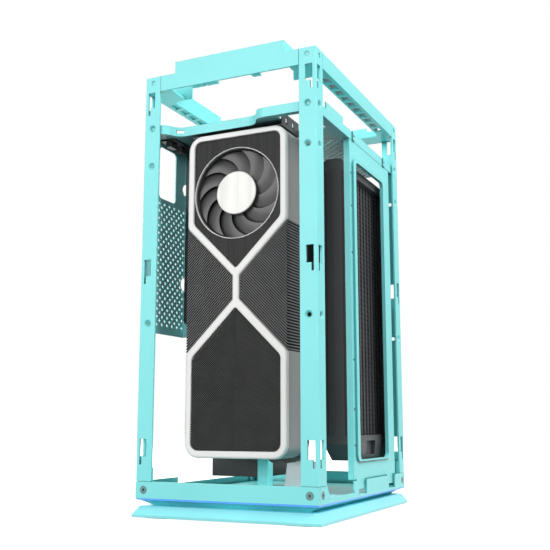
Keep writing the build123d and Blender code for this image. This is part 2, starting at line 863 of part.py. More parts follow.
def pentagon(far_edge, vertex, shrink):
    towards = 1 if far_edge > vertex else -1
    elbow = vertex + towards * (inner_half + shrink * elbow_share)
    with BuildSketch() as outline:
        with BuildLine():
            Polyline(
                (-inner_half + shrink, level(far_edge - towards * shrink)),
                (-inner_half + shrink, level(elbow)),
                (0, level(vertex + towards * shrink * vertex_share)),
                (inner_half - shrink, level(elbow)),
                (inner_half - shrink, level(far_edge - towards * shrink)),
                close=True,
            )
        make_face()
        fillet(outline.vertices().group_by(Axis.Y)[1], bezel_elbow_radius)
        fillet(
            outline.vertices().group_by(Axis.Y)[-1 if towards > 0 else 0],
            bezel_inner_radius - shrink,
        )
        fillet(outline.vertices().sort_by(Axis.Y)[0 if towards > 0 else -1], bezel_vertex_radius)
    return outline.sketch


def side_field(side, shrink):
    with BuildSketch() as outline:
        with BuildLine():
            Polyline(
                (side * card_half, level(side_upper - shrink)),
                (side * (neck_half_width + shrink), level(neck_top - shrink * elbow_share)),
                (side * (neck_half_width + shrink), level(neck_bottom + shrink * elbow_share)),
                (side * card_half, level(side_lower + shrink)),
                close=True,
            )
        make_face()
    return outline.sketch


upper_pentagon = pentagon(panel_top, upper_vertex, 0)
lower_pentagon = pentagon(panel_bottom, lower_vertex, 0)

# Card bezel: the crossed silver frame
with BuildPart() as card_bezel:
    with BuildSketch(card_plane) as bezel_outline:
        with Locations((0, level((card_bottom + card_top) / 2))):
            RectangleRounded(card_width, card_length, card_corner_radius)
        add(upper_pentagon, mode=Mode.SUBTRACT)
        add(lower_pentagon, mode=Mode.SUBTRACT)
        add(side_field(-1, 0), mode=Mode.SUBTRACT)
        add(side_field(1, 0), mode=Mode.SUBTRACT)
        for outer in (0, -1):
            outer_elbows = bezel_outline.vertices().group_by(Axis.X)[outer].sort_by(Axis.Y)[1:3]
            fillet(outer_elbows, bezel_elbow_radius)
    extrude(amount=-bezel_depth)
    front_edges = card_bezel.faces().sort_by(Axis.Y)[0].outer_wire().edges()
    chamfer(front_edges, length=bezel_chamfer)
finish(card_bezel.part, "card_bezel")

# Card shells: the grey side walls above and below the fin fields, open at the back
bezel_back = card_plane.offset(-bezel_depth)
shell_depth = shell_back_y - (card_front_y + bezel_depth)
for shell_name, cut_low, cut_high in (
    ("upper_shell", card_bottom, side_upper + seat_gap),
    ("lower_shell", side_lower - seat_gap, card_top),
):
    with BuildPart() as card_shell:
        with BuildSketch(bezel_back):
            with Locations((0, level((card_bottom + card_top) / 2))):
                RectangleRounded(card_width, card_length, card_corner_radius)
                RectangleRounded(
                    card_width - 2 * shell_sheet,
                    card_length - 2 * shell_sheet,
                    card_corner_radius - shell_sheet,
                    mode=Mode.SUBTRACT,
                )
            with Locations((0, level((cut_low + cut_high) / 2))):
                Rectangle(card_width, cut_high - cut_low, mode=Mode.SUBTRACT)
        extrude(amount=-shell_depth)
    finish(card_shell.part, shell_name)

# Fan panel: the brushed plate round the fan, with the fan's bore
panel_play = 0.15
with BuildPart() as fan_panel:
    with BuildSketch(card_plane.offset(-fan_panel_recess)):
        add(pentagon(panel_top, upper_vertex, panel_play))
        with Locations((card_fan_x - card_centre_x, level(card_fan_z))):
            Circle(card_fan_radius, mode=Mode.SUBTRACT)
    extrude(amount=-fan_panel_sheet)
finish(fan_panel.part, "fan_panel")

# Fan ring and cup: the bright rim and the dish that carries the fan's axle
ring_front = 0.8
cup_sheet = 1.5
cup_depth = 19.0
cup_play = 0.3
boss_radius = 16.1
card_axle_length = 8.0
fan_axis = Plane(
    origin=(card_fan_x, card_front_y, level(card_fan_z)), x_dir=(1, 0, 0), z_dir=(0, -1, 0)
)
with BuildPart() as fan_ring:
    with BuildSketch(fan_axis.offset(-fan_panel_recess + ring_front)):
        Circle(card_fan_radius - panel_play)
        Circle(card_fan_radius - panel_play - card_ring_width, mode=Mode.SUBTRACT)
    extrude(amount=-(fan_panel_sheet + ring_front))
finish(fan_ring.part, "fan_ring")

cup_front = fan_panel_recess + fan_panel_sheet
rotor_back = 17.0
with BuildPart() as fan_cup:
    with BuildSketch(fan_axis.offset(-cup_front)):
        Circle(card_fan_radius)
    extrude(amount=-cup_depth)
    with BuildSketch(fan_axis.offset(-cup_front)):
        Circle(card_fan_radius - cup_sheet)
    extrude(amount=-(cup_depth - cup_sheet), mode=Mode.SUBTRACT)
    with BuildSketch(fan_axis.offset(-rotor_back - cup_play)):
        Circle(boss_radius)
    extrude(amount=-(cup_front + cup_depth - rotor_back - cup_play))
    with BuildSketch(fan_axis.offset(-rotor_back - cup_play)):
        Circle(axle_radius)
    extrude(amount=card_axle_length)
finish(fan_cup.part, "fan_cup")


# Rotor: a hub with pitched, swept blades, built along Z with its front at the origin
blade_sheet = 1.3
blade_root = 2.5


def rotor(hub_radius, tip_radius, height, bore_depth, count, chords, pitch, sweep):
    root = hub_radius - blade_root
    tip = tip_radius + blade_root
    drift = tip_radius * sin(radians(sweep))
    blade_plane = Plane(
        origin=(0, 0, -height / 2),
        x_dir=(1, 0, 0),
        z_dir=(0, -sin(radians(pitch)), cos(radians(pitch))),
    )
    with BuildPart() as blade:
        with BuildSketch(blade_plane):
            Polygon(
                (root, -chords[0] / 2),
                (tip, drift - chords[1] / 2),
                (tip, drift + chords[1] / 2),
                (root, chords[0] / 2),
                align=None,
            )
        extrude(amount=blade_sheet / 2, both=True)
    with BuildPart() as wheel:
        with PolarLocations(0, count):
            add(blade.part)
        with BuildSketch(Plane.XY):
            Circle(tip_radius)
        extrude(amount=-height, mode=Mode.INTERSECT)
        with BuildSketch(Plane.XY):
            Circle(hub_radius)
        extrude(amount=-height)
        with BuildSketch(Plane.XY.offset(-height)):
            Circle(axle_radius + axle_play)
        extrude(amount=bore_depth, mode=Mode.SUBTRACT)
    return wheel.part


card_tip_gap = 1.2
card_bore_depth = 8.5
card_chords = (15.0, 27.0)
card_pitch = 38.0
card_sweep = 24.0
cap_sheet = 1.2
cap_chamfer = 0.72
rotor_front = 2.9
card_wheel = rotor(
    card_hub_radius,
    card_fan_radius - cup_sheet - card_tip_gap,
    rotor_back - rotor_front,
    card_bore_depth,
    card_blades,
    card_chords,
    card_pitch,
    card_sweep,
)
with BuildPart() as card_rotor:
    with Locations(fan_axis.offset(-rotor_front)):
        add(card_wheel)
finish(card_rotor.part, "card_rotor")

# Hub cap: the silver disc on the rotor
with BuildPart() as hub_cap:
    with BuildSketch(fan_axis.offset(-rotor_front)):
        Circle(card_hub_radius)
    extrude(amount=cap_sheet)
    chamfer(hub_cap.edges().sort_by(Axis.Y)[0], length=cap_chamfer)
finish(hub_cap.part, "hub_cap")


fin_angle = 45.0
fin_play = 0.3
fin_reach = 12.0
fin_diagonal = 0.707


# Fin stacks: slanted plates on a root plate, cut to the side fields of the card
def fin_stack(side):
    field = side_field(side, fin_play)
    span = card_half + fin_reach
    first = level(side_lower) - span
    count = int((side_upper - side_lower + 2 * span) / fin_pitch)
    with BuildPart() as stack:
        with BuildSketch(card_plane.offset(-fin_recess)) as fins:
            for index in range(count):
                with Locations((side * card_half / 2, first + index * fin_pitch)):
                    Rectangle(2 * span, fin_sheet * fin_diagonal, rotation=-fin_angle * side)
            add(field, mode=Mode.INTERSECT)
        extrude(amount=-(shell_back_y - card_front_y - fin_recess - fin_root))
        with BuildSketch(Plane(origin=(card_centre_x, shell_back_y, 0), x_dir=(1, 0, 0), z_dir=(0, -1, 0))):
            add(field)
        extrude(amount=fin_root)
    return stack.part


fins_left = fin_stack(-1)
fins_right = fin_stack(1)
finish(fins_left, "fins_left")
finish(fins_right, "fins_right")

# Lower grille: chevron fins on a root plate in the lower pentagon
with BuildPart() as lower_grille:
    grille_field = pentagon(panel_bottom, lower_vertex, panel_play)
    arm = 2 * inner_half
    grille_count = int((lower_vertex - panel_bottom + inner_half) / grille_pitch)
    with BuildSketch(card_plane.offset(-fin_recess)):
        for index in range(grille_count):
            peak = level(lower_vertex) - grille_first - index * grille_pitch
            for side in (-1, 1):
                with Locations((0, peak)):
                    Rectangle(
                        arm,
                        grille_sheet * fin_diagonal,
                        rotation=-fin_angle * side,
                        align=(Align.MIN if side > 0 else Align.MAX, Align.CENTER),
                    )
        add(grille_field, mode=Mode.INTERSECT)
    extrude(amount=-grille_depth)
    with BuildSketch(card_plane.offset(-fin_recess - grille_depth)):
        add(grille_field)
    extrude(amount=-grille_root)
finish(lower_grille.part, "lower_grille")

# Card board: the circuit board behind the shells
with BuildPart() as card_board:
    with BuildSketch(Plane(origin=(card_centre_x, shell_back_y, 0), x_dir=(1, 0, 0), z_dir=(0, -1, 0))):
        with Locations((0, level((card_bottom + card_top) / 2))):
            RectangleRounded(
                card_width - board_margin[0], card_length - board_margin[1], board_corner
            )
    extrude(amount=-board_sheet)
finish(card_board.part, "card_board")

# Rear shroud: the black back of the card, with two round lobes at its lower edge
with BuildPart() as rear_shroud:
    with BuildSketch(
        Plane(origin=(card_centre_x, shell_back_y + board_sheet, 0), x_dir=(1, 0, 0), z_dir=(0, -1, 0))
    ):
        with Locations((0, level((card_bottom + card_top) / 2))):
            RectangleRounded(
                card_width - shroud_margin[0],
                card_length - shroud_margin[1],
                card_corner_radius,
            )
        with Locations(*[(lobe_x, level(lobe_height)) for lobe_x in lobe_centres]):
            Circle(lobe_radius)
    extrude(amount=-(rear_shroud_depth - board_sheet))
    chamfer(
        rear_shroud.faces().sort_by(Axis.Y)[-1].edges().filter_by(GeomType.LINE),
        length=shell_sheet,
    )
finish(rear_shroud.part, "rear_shroud")

# Card bracket: the end plate under the shelf, with a pierced tab up past the shelf's cut-out
bracket_right = card_cut_left + seat_gap + card_bracket_sheet
bracket_base = level(card_top) + seat_gap
bracket_front = card_front_y + card_bracket_setback
with BuildPart() as card_bracket:
    with BuildSketch(Plane.XY.offset(bracket_base)):
        with Locations((bracket_right, bracket_front)):
            Rectangle(card_bracket_length, card_bracket_width, align=(Align.MAX, Align.MIN))
        with Locations((0, bracket_front + card_bracket_width / 2)):
            with GridLocations(*port_slot_pitch, port_slot_columns, 3):
                Rectangle(*port_slot_size, mode=Mode.SUBTRACT)
    extrude(amount=card_bracket_sheet)
    with BuildSketch(Plane(origin=(bracket_right, 0, 0), x_dir=(0, 1, 0), z_dir=(1, 0, 0))):
        with Locations((bracket_front, bracket_base)):
            Rectangle(card_bracket_width, card_tab_height, align=(Align.MIN, Align.MIN))
        for hole_y in card_tab_holes:
            with Locations((hole_y, bracket_base + card_tab_height / 2)):
                SlotOverall(
                    2 * card_tab_hole_width, card_tab_hole_width, rotation=90, mode=Mode.SUBTRACT
                )
    extrude(amount=-card_bracket_sheet)
finish(card_bracket.part, "card_bracket")

# Port board under the left of the shelf, with two metal port shells
board_bottom = level(shelf_height) - board_sheet
port_board_x = port_board_inset - half_width
with BuildPart() as port_board:
    with BuildSketch(Plane.XY.offset(board_bottom)):
        with Locations((port_board_x, port_board_y)):
            RectangleRounded(*port_board_size, frame_sheet)
    extrude(amount=board_sheet)
finish(port_board.part, "port_board")

for port_name, port_y in (("front_port", port_places[0]), ("rear_port", port_places[1])):
    with BuildPart() as port:
        with BuildSketch(Plane.XY.offset(board_bottom)):
            with Locations((port_board_x, port_y)):
                Rectangle(port_width, port_length)
        extrude(amount=-port_height)
        fillet(port.edges().filter_by(Axis.Y), radius=fold_radius)
    finish(port.part, port_name)

# Radiator
radiator_outer_x = half_width - radiator_inset
radiator_inner_x = radiator_outer_x - radiator_thickness
radiator_back = radiator_front + radiator_width
radiator_middle_y = radiator_front + radiator_width / 2
radiator_middle_x = radiator_outer_x - radiator_thickness / 2

# Radiator core: flat tubes standing proud of the packed fins
with BuildPart() as radiator_core:
    core_width = radiator_width - 2 * channel_sheet
    with BuildSketch(Plane.XY.offset(level(core_bottom))):
        with Locations((radiator_middle_x, radiator_middle_y)):
            Rectangle(radiator_thickness - 2 * (core_recess + tube_proud), core_width)
            with GridLocations(0, core_width / tube_count, 1, tube_count):
                Rectangle(radiator_thickness - 2 * core_recess, tube_width)
    extrude(amount=core_top - core_bottom)
finish(radiator_core.part, "radiator_core")

# Upper tank: rounded shoulders and a notch in its crown
with BuildPart() as upper_tank:
    with BuildSketch(Plane.XY.offset(level(core_top))):
        with Locations((radiator_middle_x, radiator_middle_y)):
            Rectangle(radiator_thickness, radiator_width)
    extrude(amount=upper_tank_height)
    crown = upper_tank.faces().sort_by(Axis.Z)[-1]
    fillet(crown.edges().filter_by(Axis.Y), radius=tank_round)
    with BuildSketch(Plane(origin=(radiator_outer_x, 0, 0), x_dir=(0, 1, 0), z_dir=(1, 0, 0))):
        with Locations((tank_notch_y, level(core_top + upper_tank_height))):
            Rectangle(*tank_notch_size, align=(Align.CENTER, Align.MAX))
    extrude(amount=-radiator_thickness, mode=Mode.SUBTRACT)
finish(upper_tank.part, "upper_tank")

# Lower tank: tapered towards its foot
with BuildPart() as lower_tank:
    with BuildSketch(Plane.XY.offset(level(core_bottom))):
        with Locations((radiator_middle_x, radiator_middle_y)):
            Rectangle(radiator_thickness, radiator_width)
    extrude(amount=-tank_straight)
    with BuildSketch(Plane.XY.offset(level(core_bottom - tank_straight))):
        with Locations((radiator_middle_x, radiator_middle_y)):
            Rectangle(radiator_thickness, radiator_width)
    with BuildSketch(Plane.XY.offset(level(core_bottom - lower_tank_height))):
        with Locations((radiator_middle_x + tank_foot_offset, radiator_middle_y)):
            Rectangle(
                radiator_thickness - tank_foot_taper, radiator_width - 2 * tank_foot_taper
            )
    loft()
    with BuildSketch(Plane(origin=(radiator_outer_x, 0, 0), x_dir=(0, 1, 0), z_dir=(1, 0, 0))):
        with Locations((tank_plug_y, level(core_bottom - tank_plug_drop))):
            Rectangle(*tank_plug_size, align=(Align.CENTER, Align.MAX))
    extrude(amount=-tank_plug_depth, mode=Mode.SUBTRACT)
finish(lower_tank.part, "lower_tank")

# Side channels: folded rails of the radiator with corner gussets on the outer face
outer_face = Plane(origin=(radiator_outer_x, 0, 0), x_dir=(0, 1, 0), z_dir=(1, 0, 0))
for channel_name, edge_y, inward in (
    ("front_channel", radiator_front, 1),
    ("rear_channel", radiator_back, -1),
):
    with BuildPart() as channel:
        channel_align = Align.MIN if inward > 0 else Align.MAX
        with BuildSketch(Plane.XY.offset(level(core_bottom))):
            with Locations((radiator_inner_x, edge_y)):
                Rectangle(radiator_thickness, channel_sheet, align=(Align.MIN, channel_align))
            for flange_x in (radiator_outer_x, radiator_inner_x + channel_sheet):
                with Locations((flange_x, edge_y)):
                    Rectangle(channel_sheet, channel_flange, align=(Align.MAX, channel_align))
        extrude(amount=core_top - core_bottom)
        with BuildSketch(outer_face):
            for base, towards in (
                (core_bottom, 1),
                (fan_centre_height, 1),
                (fan_centre_height, -1),
                (core_top, -1),
            ):
                gusset_end = level(base + towards * gusset_height)
                with BuildLine():
                    Polyline(
                        (edge_y, level(base)),
                        (edge_y + inward * (channel_flange + gusset_reach), level(base)),
                        (edge_y + inward * channel_flange, gusset_end),
                        (edge_y, gusset_end),
                        close=True,
                    )
                make_face()
        extrude(amount=-channel_sheet)
    finish(channel.part, channel_name)

# Radiator fans: square frames with a round bore, a motor seat on four struts, and a rotor
fan_back_x = radiator_inner_x
fan_front_x = fan_back_x - fan_depth
fan_chords = (17.6, 28.6)
fan_pitch_angle = 37.0
fan_sweep = 16.0
fan_bore_depth = 12.0
fan_wheel = rotor(
    fan_hub_radius,
    fan_tip_radius,
    fan_depth - motor_seat_sheet - fan_rotor_gap,
    fan_bore_depth,
    fan_blades,
    fan_chords,
    fan_pitch_angle,
    fan_sweep,
)


def radiator_fan_frame(height):
    axis = Plane(
        origin=(fan_front_x, radiator_middle_y, level(height)), x_dir=(0, 1, 0), z_dir=(-1, 0, 0)
    )
    with BuildPart() as fan_frame:
        with BuildSketch(axis):
            RectangleRounded(fan_size, fan_size, fan_corner_radius)
            Circle(fan_bore_radius, mode=Mode.SUBTRACT)
            with GridLocations(fan_hole_spacing, fan_hole_spacing, 2, 2):
                Circle(fan_hole_radius, mode=Mode.SUBTRACT)
        extrude(amount=-fan_depth)
        with BuildSketch(axis.offset(-fan_depth)):
            Circle(fan_hub_radius)
            with PolarLocations(0, 4, start_angle=fan_strut_angle):
                Rectangle(fan_bore_radius + fan_strut_root, fan_strut_width, align=(Align.MIN, Align.CENTER))
        extrude(amount=motor_seat_sheet)
        with BuildSketch(axis.offset(-fan_depth + motor_seat_sheet)):
            Circle(axle_radius)
        extrude(amount=fan_axle_length)
    return fan_frame.part


def radiator_fan_rotor(height):
    front = Plane(
        origin=(fan_front_x + fan_play, radiator_middle_y, level(height)),
        x_dir=(0, 1, 0),
        z_dir=(-1, 0, 0),
    )
    with BuildPart() as fan_rotor:
        with Locations(front):
            add(fan_wheel)
    return fan_rotor.part


for fan_name, fan_offset in (("lower", -fan_pitch / 2), ("upper", fan_pitch / 2)):
    finish(radiator_fan_frame(fan_centre_height + fan_offset), f"{fan_name}_fan_frame")
    finish(radiator_fan_rotor(fan_centre_height + fan_offset), f"{fan_name}_fan_rotor")

# Radiator bracket: a plate folded in to the radiator, with a raised ring round its window
side_plate_x = half_width - side_plate_inset
plate_face = Plane(origin=(side_plate_x, 0, 0), x_dir=(0, 1, 0), z_dir=(1, 0, 0))
with BuildPart() as radiator_bracket:
    plate_middle = side_plate_x - side_plate_sheet / 2
    fold_end = radiator_outer_x + radiator_play
    front_fold = side_plate_front + side_plate_sheet / 2
    back_fold = side_plate_back - side_plate_sheet / 2
    with BuildSketch(Plane.XY.offset(level(side_plate_bottom))):
        with BuildLine():
            Polyline(
                (fold_end + side_plate_sheet / 2, side_lip_end),
                (fold_end + side_plate_sheet / 2, front_fold),
                (plate_middle, front_fold),
                (plate_middle, back_fold),
                (fold_end, back_fold),
            )
        trace(line_width=side_plate_sheet)
    extrude(amount=shelf_height - side_plate_bottom)
    window_centre = (sum(side_window_y) / 2, level(sum(side_window_z) / 2))
    window_size = (side_window_y[1] - side_window_y[0], side_window_z[1] - side_window_z[0])
    with BuildSketch(plate_face):
        with Locations(window_centre):
            RectangleRounded(
                window_size[0] + 2 * ring_side_margin,
                window_size[1] + 2 * ring_end_margin,
                radiator_window_radius + ring_end_margin,
            )
    extrude(amount=ring_proud)
    with BuildSketch(plate_face.offset(ring_proud)):
        with Locations(window_centre):
            RectangleRounded(*window_size, radiator_window_radius)
    extrude(amount=-(ring_proud + side_plate_sheet), mode=Mode.SUBTRACT)
    with Locations(plate_face):
        with Locations(*[(bracket_hole_y, level(z)) for z in bracket_hole_heights]):
            Hole(bracket_hole_radius, depth=side_plate_sheet)
    with BuildSketch(plate_face):
        for tab_front, tab_back in foot_tabs:
            with Locations(((tab_front + tab_back) / 2, level(foot_tab_bottom))):
                Rectangle(
                    tab_back - tab_front - 2 * seam,
                    side_plate_bottom - foot_tab_bottom,
                    align=(Align.CENTER, Align.MIN),
                )
    extrude(amount=-side_plate_sheet)
finish(radiator_bracket.part, "radiator_bracket")
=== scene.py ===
import bpy
import bmesh
import json
from math import cos, radians, sin, tau
from mathutils import Matrix, Vector


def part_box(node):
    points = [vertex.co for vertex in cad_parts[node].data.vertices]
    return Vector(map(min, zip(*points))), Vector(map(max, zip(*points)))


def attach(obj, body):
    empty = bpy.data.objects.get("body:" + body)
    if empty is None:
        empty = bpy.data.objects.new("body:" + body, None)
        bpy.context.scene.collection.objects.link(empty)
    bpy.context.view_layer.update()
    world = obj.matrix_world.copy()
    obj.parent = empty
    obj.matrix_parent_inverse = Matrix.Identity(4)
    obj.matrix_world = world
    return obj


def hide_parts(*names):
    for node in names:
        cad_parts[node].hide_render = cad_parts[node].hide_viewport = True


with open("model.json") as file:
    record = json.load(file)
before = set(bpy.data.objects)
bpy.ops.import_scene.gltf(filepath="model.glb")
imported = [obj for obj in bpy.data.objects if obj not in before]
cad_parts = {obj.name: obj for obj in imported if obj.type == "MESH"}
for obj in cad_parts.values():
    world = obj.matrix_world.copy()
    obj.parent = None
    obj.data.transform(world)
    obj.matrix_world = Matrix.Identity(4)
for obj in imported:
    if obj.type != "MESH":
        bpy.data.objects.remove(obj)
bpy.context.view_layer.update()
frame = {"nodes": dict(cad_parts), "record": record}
nodes = frame["nodes"]
slot_of = {part["node"]: part["material_slot"] for part in frame["record"]["subparts"]}
MM = 0.001

# Camera: fitted to the straight edges of the case in the photograph (angles in degrees)
CAMERA_PLACE = (0.40744, -0.88611, 0.09365)
CAMERA_PITCH = 9.876
CAMERA_TURN = 25.088
CAMERA_LENS = 56.02
CAMERA_SENSOR = 36.0
CAMERA_CLIP = 0.01

# Lamps: name, place, target, side of the square, watts
MIDDLE = (0, 0, 0.25)
LAMPS = (
    ("key_front", (-0.9, -2.4, 1.0), MIDDLE, 1.6, 40.0),
    ("low_front", (0.75, -1.9, 0.45), MIDDLE, 1.0, 7.5),
    ("key_right", (2.1, -0.3, 2.0), (0, 0, 0.4), 1.4, 66.0),
    ("top_soft", (0.2, 0.3, 2.6), MIDDLE, 2.0, 24.0),
    ("back_left", (-1.8, 1.6, 1.2), MIDDLE, 1.4, 24.0),
)

# Backdrop
WHITE = (1.0, 1.0, 1.0)
SKY_LIGHT = (0.86, 0.93, 1.0)
SKY_STRENGTH = 0.09
FLOOR_WHITE = (0.9, 0.9, 0.9)
FLOOR_GLOW = 0.94
FLOOR_DIM = (0.05, 0.055, 0.06)
FLOOR_REACH = 6.0
FLOOR_PARTS = 2

# Colours, as linear values
TURQUOISE = (0.27, 0.92, 0.92)
# The frame paint made lighter for the side bracket: painted light
WALL_LIT_TURQUOISE = (0.42, 0.98, 0.98)
TURQUOISE_FOOT = (0.30, 0.90, 0.93)
# Painted shade for the frame paint's holes, seams and inner corners
HOLLOW_SHADE_TEAL = (0.05, 0.26, 0.27)
# Painted shade under the I/O shelf
SHELF_SHADE = (0.06, 0.11, 0.11)
NECK_BLUE = (0.24, 0.84, 0.90)
GLOW_BLUE = (0.04, 0.20, 0.62)
RUBBER = (0.02, 0.02, 0.02)
SILVER = (0.84, 0.83, 0.81)
HUB_SILVER = (0.83, 0.82, 0.79)
SHELL_GREY = (0.27, 0.27, 0.265)
PANEL_GREY = (0.026, 0.026, 0.027)
FIN_FRONT = (0.175, 0.175, 0.177)
# Near-black fin walls: painted shade in the gaps between the fins
FIN_WALL_SHADE = (0.006, 0.006, 0.006)
GRILLE_FRONT = (0.078, 0.079, 0.079)
CUP_GREY = (0.075, 0.075, 0.077)
BRACKET_GREY = (0.075, 0.075, 0.078)
RADIATOR_BLACK = (0.042, 0.043, 0.045)
TUBE_BLACK = (0.050, 0.051, 0.053)
PLEAT_BLACK = (0.008, 0.008, 0.009)
PLASTIC_BLACK = (0.012, 0.012, 0.013)
ROTOR_GREY = (0.042, 0.042, 0.043)
BOARD_BLACK = (0.014, 0.017, 0.015)
STEEL = (0.42, 0.44, 0.45)
SCREW_GREY = (0.10, 0.21, 0.21)

# Painted lines down the radiator channel's side, for shade in its grooves and light and shade on
# its steps: share of its width, grey value
SIDE_SHADE_LINES = (
    (0.00, 0.045), (0.16, 0.045), (0.18, 0.006), (0.20, 0.006), (0.22, 0.052), (0.47, 0.052),
    (0.53, 0.068), (0.84, 0.068), (0.86, 0.008), (0.89, 0.008), (0.91, 0.024), (1.00, 0.024),
)
LINE_BLUE = 1.02
LINE_CLOUD_SHARE = 0.25

# Material detail
NOISE_RANGE = (0.3, 0.7)
CLOUD_DETAIL = 4.0
GRAIN_DETAIL = 2.0
GRAIN_STRENGTH = 0.5
EDGE_SAMPLES = 4
# Painted shade in hollows: samples, reach and open range of the occlusion
HOLLOW_SHADE_SAMPLES = 6
HOLLOW_SHADE_REACH = 7.0 * MM
HOLLOW_SHADE_RANGE = (0.5, 0.92)
# Painted shade under the shelf: reach and open range of the occlusion
SHELF_SHADE_REACH = 60.0 * MM
SHELF_SHADE_RANGE = (0.5, 0.85)
FIN_EDGE_RANGE = (0.8, 0.9)
GLOW_ROUGHNESS = 0.3
GLOW_CLOUD = 30.0
GLOW_SPREAD = 0.18
GLOW_STRENGTH = 1.0
PAINT = {"roughness": 0.42, "spread": 0.03, "grain": 1400.0, "grain_height": 0.02}

# Radiator fins
TUBES = 13
TUBE_WIDTH = 4.6 * MM
PLEAT = 2.7 * MM
PLEAT_DEPTH = 1.2 * MM
PLEAT_INSET = 0.2 * MM
PLEAT_SHEET = 0.25 * MM

# Lip returns
LIP_EDGE_X = 86.0 * MM
LIP_TOP_Z = 454.1 * MM
RETURN_TOP_Z = 467.5 * MM
RETURN_FRONT_Y = -94.0 * MM
RETURN_BACK_Y = 103.0 * MM
RETURN_SHEET = 1.2 * MM
RETURN_CORNER = 5.0 * MM
RETURN_ROUND = 0.3 * MM
RETURN_ROUND_STEPS = 2

# Rotors: chords and pitches run from the hub to the tip (angles in degrees)
CARD_BLADES = {
    "blades": 11, "sweep": 32.0, "chords": (19.0 * MM, 34.0 * MM), "pitches": (21.0, 9.0),
}
RADIATOR_BLADES = {
    "blades": 9, "sweep": 24.0, "chords": (17.0 * MM, 34.0 * MM), "pitches": (50.0, 28.0),
}
RADIATOR_FAN_HUB = 21.0 * MM
RADIATOR_FAN_TIP = 64.3 * MM
CUP_WALL = 1.5 * MM
RUNNING_GAP = 1.1 * MM
SPAN_STEPS = 10
CHORD_STEPS = 8
CAMBER = 0.07
SWEEP_POWER = 1.4
BLADE_SHEET = 0.9 * MM
BLADE_ROOT = 0.6 * MM
HUB_STEPS = 72
HUB_EDGE = 1.2 * MM
HUB_EDGE_SHARE = 0.35
SHARP_ANGLE = 50


# Shader helpers
def new_material(name):
    material = bpy.data.materials.new(name)
    material.use_nodes = True
    tree = material.node_tree
    return material, tree, tree.nodes["Principled BSDF"]


def noise(tree, scale, stretch=(1, 1, 1), detail=CLOUD_DETAIL):
    coords = tree.nodes.new("ShaderNodeTexCoord")
    mapping = tree.nodes.new("ShaderNodeMapping")
    mapping.inputs["Scale"].default_value = stretch
    texture = tree.nodes.new("ShaderNodeTexNoise")
    texture.inputs["Scale"].default_value = scale
    texture.inputs["Detail"].default_value = detail
    tree.links.new(coords.outputs["Object"], mapping.inputs["Vector"])
    tree.links.new(mapping.outputs["Vector"], texture.inputs["Vector"])
    return texture.outputs["Fac"]


def ranged(tree, value, source, target=(0.0, 1.0)):
    span = tree.nodes.new("ShaderNodeMapRange")
    for name, number in zip(("From Min", "From Max", "To Min", "To Max"), (*source, *target)):
        span.inputs[name].default_value = number
    tree.links.new(value, span.inputs["Value"])
    return span.outputs["Result"]


def calculated(tree, operation, *values):
    step = tree.nodes.new("ShaderNodeMath")
    step.operation = operation
    for socket, value in zip(step.inputs, values):
        tree.links.new(value, socket)
    return step.outputs["Value"]


def geometry_axes(tree, output):
    geometry = tree.nodes.new("ShaderNodeNewGeometry")
    axes = tree.nodes.new("ShaderNodeSeparateXYZ")
    tree.links.new(geometry.outputs[output], axes.inputs["Vector"])
    return axes.outputs


def shaded(tree, value, color, spread):
    # The colour drifts a little darker and lighter with the noise.
    ramp = tree.nodes.new("ShaderNodeValToRGB")
    low, high = ramp.color_ramp.elements
    low.position, high.position = NOISE_RANGE
    low.color = (*[c * (1 - spread) for c in color], 1)
    high.color = (*[min(1.0, c * (1 + spread)) for c in color], 1)
    tree.links.new(value, ramp.inputs["Fac"])
    return ramp.outputs["Color"]


def mix_into_base(material):
    # The colour so far becomes Color2; Color1 and Fac are left to the caller.
    tree = material.node_tree
    base = tree.nodes["Principled BSDF"].inputs["Base Color"]
    so_far = base.links[0].from_socket
    mix = tree.nodes.new("ShaderNodeMixRGB")
    tree.links.new(so_far, mix.inputs["Color2"])
    tree.links.new(mix.outputs["Color"], base)
    return mix.inputs


# Materials
def finish_material(
    name,
    color,
    metallic=0.0,
    roughness=0.45,
    roughness_spread=0.06,
    spread=0.06,
    grain=900.0,
    grain_height=0.03,
    stretch=(1, 1, 1),
    cloud=14.0,
    edge=0.35,
    specular=0.5,
):
    # Cloudy colour, fine grain and rounded edges; grain_height and edge are in millimetres.
    material, tree, shader = new_material(name)
    shader.inputs["Metallic"].default_value = metallic
    shader.inputs["Specular IOR Level"].default_value = specular
    clouds = noise(tree, cloud, stretch)
    tree.links.new(shaded(tree, clouds, color, spread), shader.inputs["Base Color"])
    fine = noise(tree, grain, stretch, GRAIN_DETAIL)
    roughnesses = (roughness - roughness_spread, roughness + roughness_spread)
    tree.links.new(ranged(tree, fine, NOISE_RANGE, roughnesses), shader.inputs["Roughness"])
    bump = tree.nodes.new("ShaderNodeBump")
    bump.inputs["Strength"].default_value = GRAIN_STRENGTH
    bump.inputs["Distance"].default_value = grain_height * MM
    tree.links.new(fine, bump.inputs["Height"])
    if edge:
        rounding = tree.nodes.new("ShaderNodeBevel")
        rounding.samples = EDGE_SAMPLES
        rounding.inputs["Radius"].default_value = edge * MM
        tree.links.new(rounding.outputs["Normal"], bump.inputs["Normal"])
    tree.links.new(bump.outputs["Normal"], shader.inputs["Normal"])
    return material


def glow_material(name, color):
    material, tree, shader = new_material(name)
    shader.inputs["Roughness"].default_value = GLOW_ROUGHNESS
    glow = shaded(tree, noise(tree, GLOW_CLOUD), color, GLOW_SPREAD)
    tree.links.new(glow, shader.inputs["Base Color"])
    tree.links.new(glow, shader.inputs["Emission Color"])
    shader.inputs["Emission Strength"].default_value = GLOW_STRENGTH
    return material


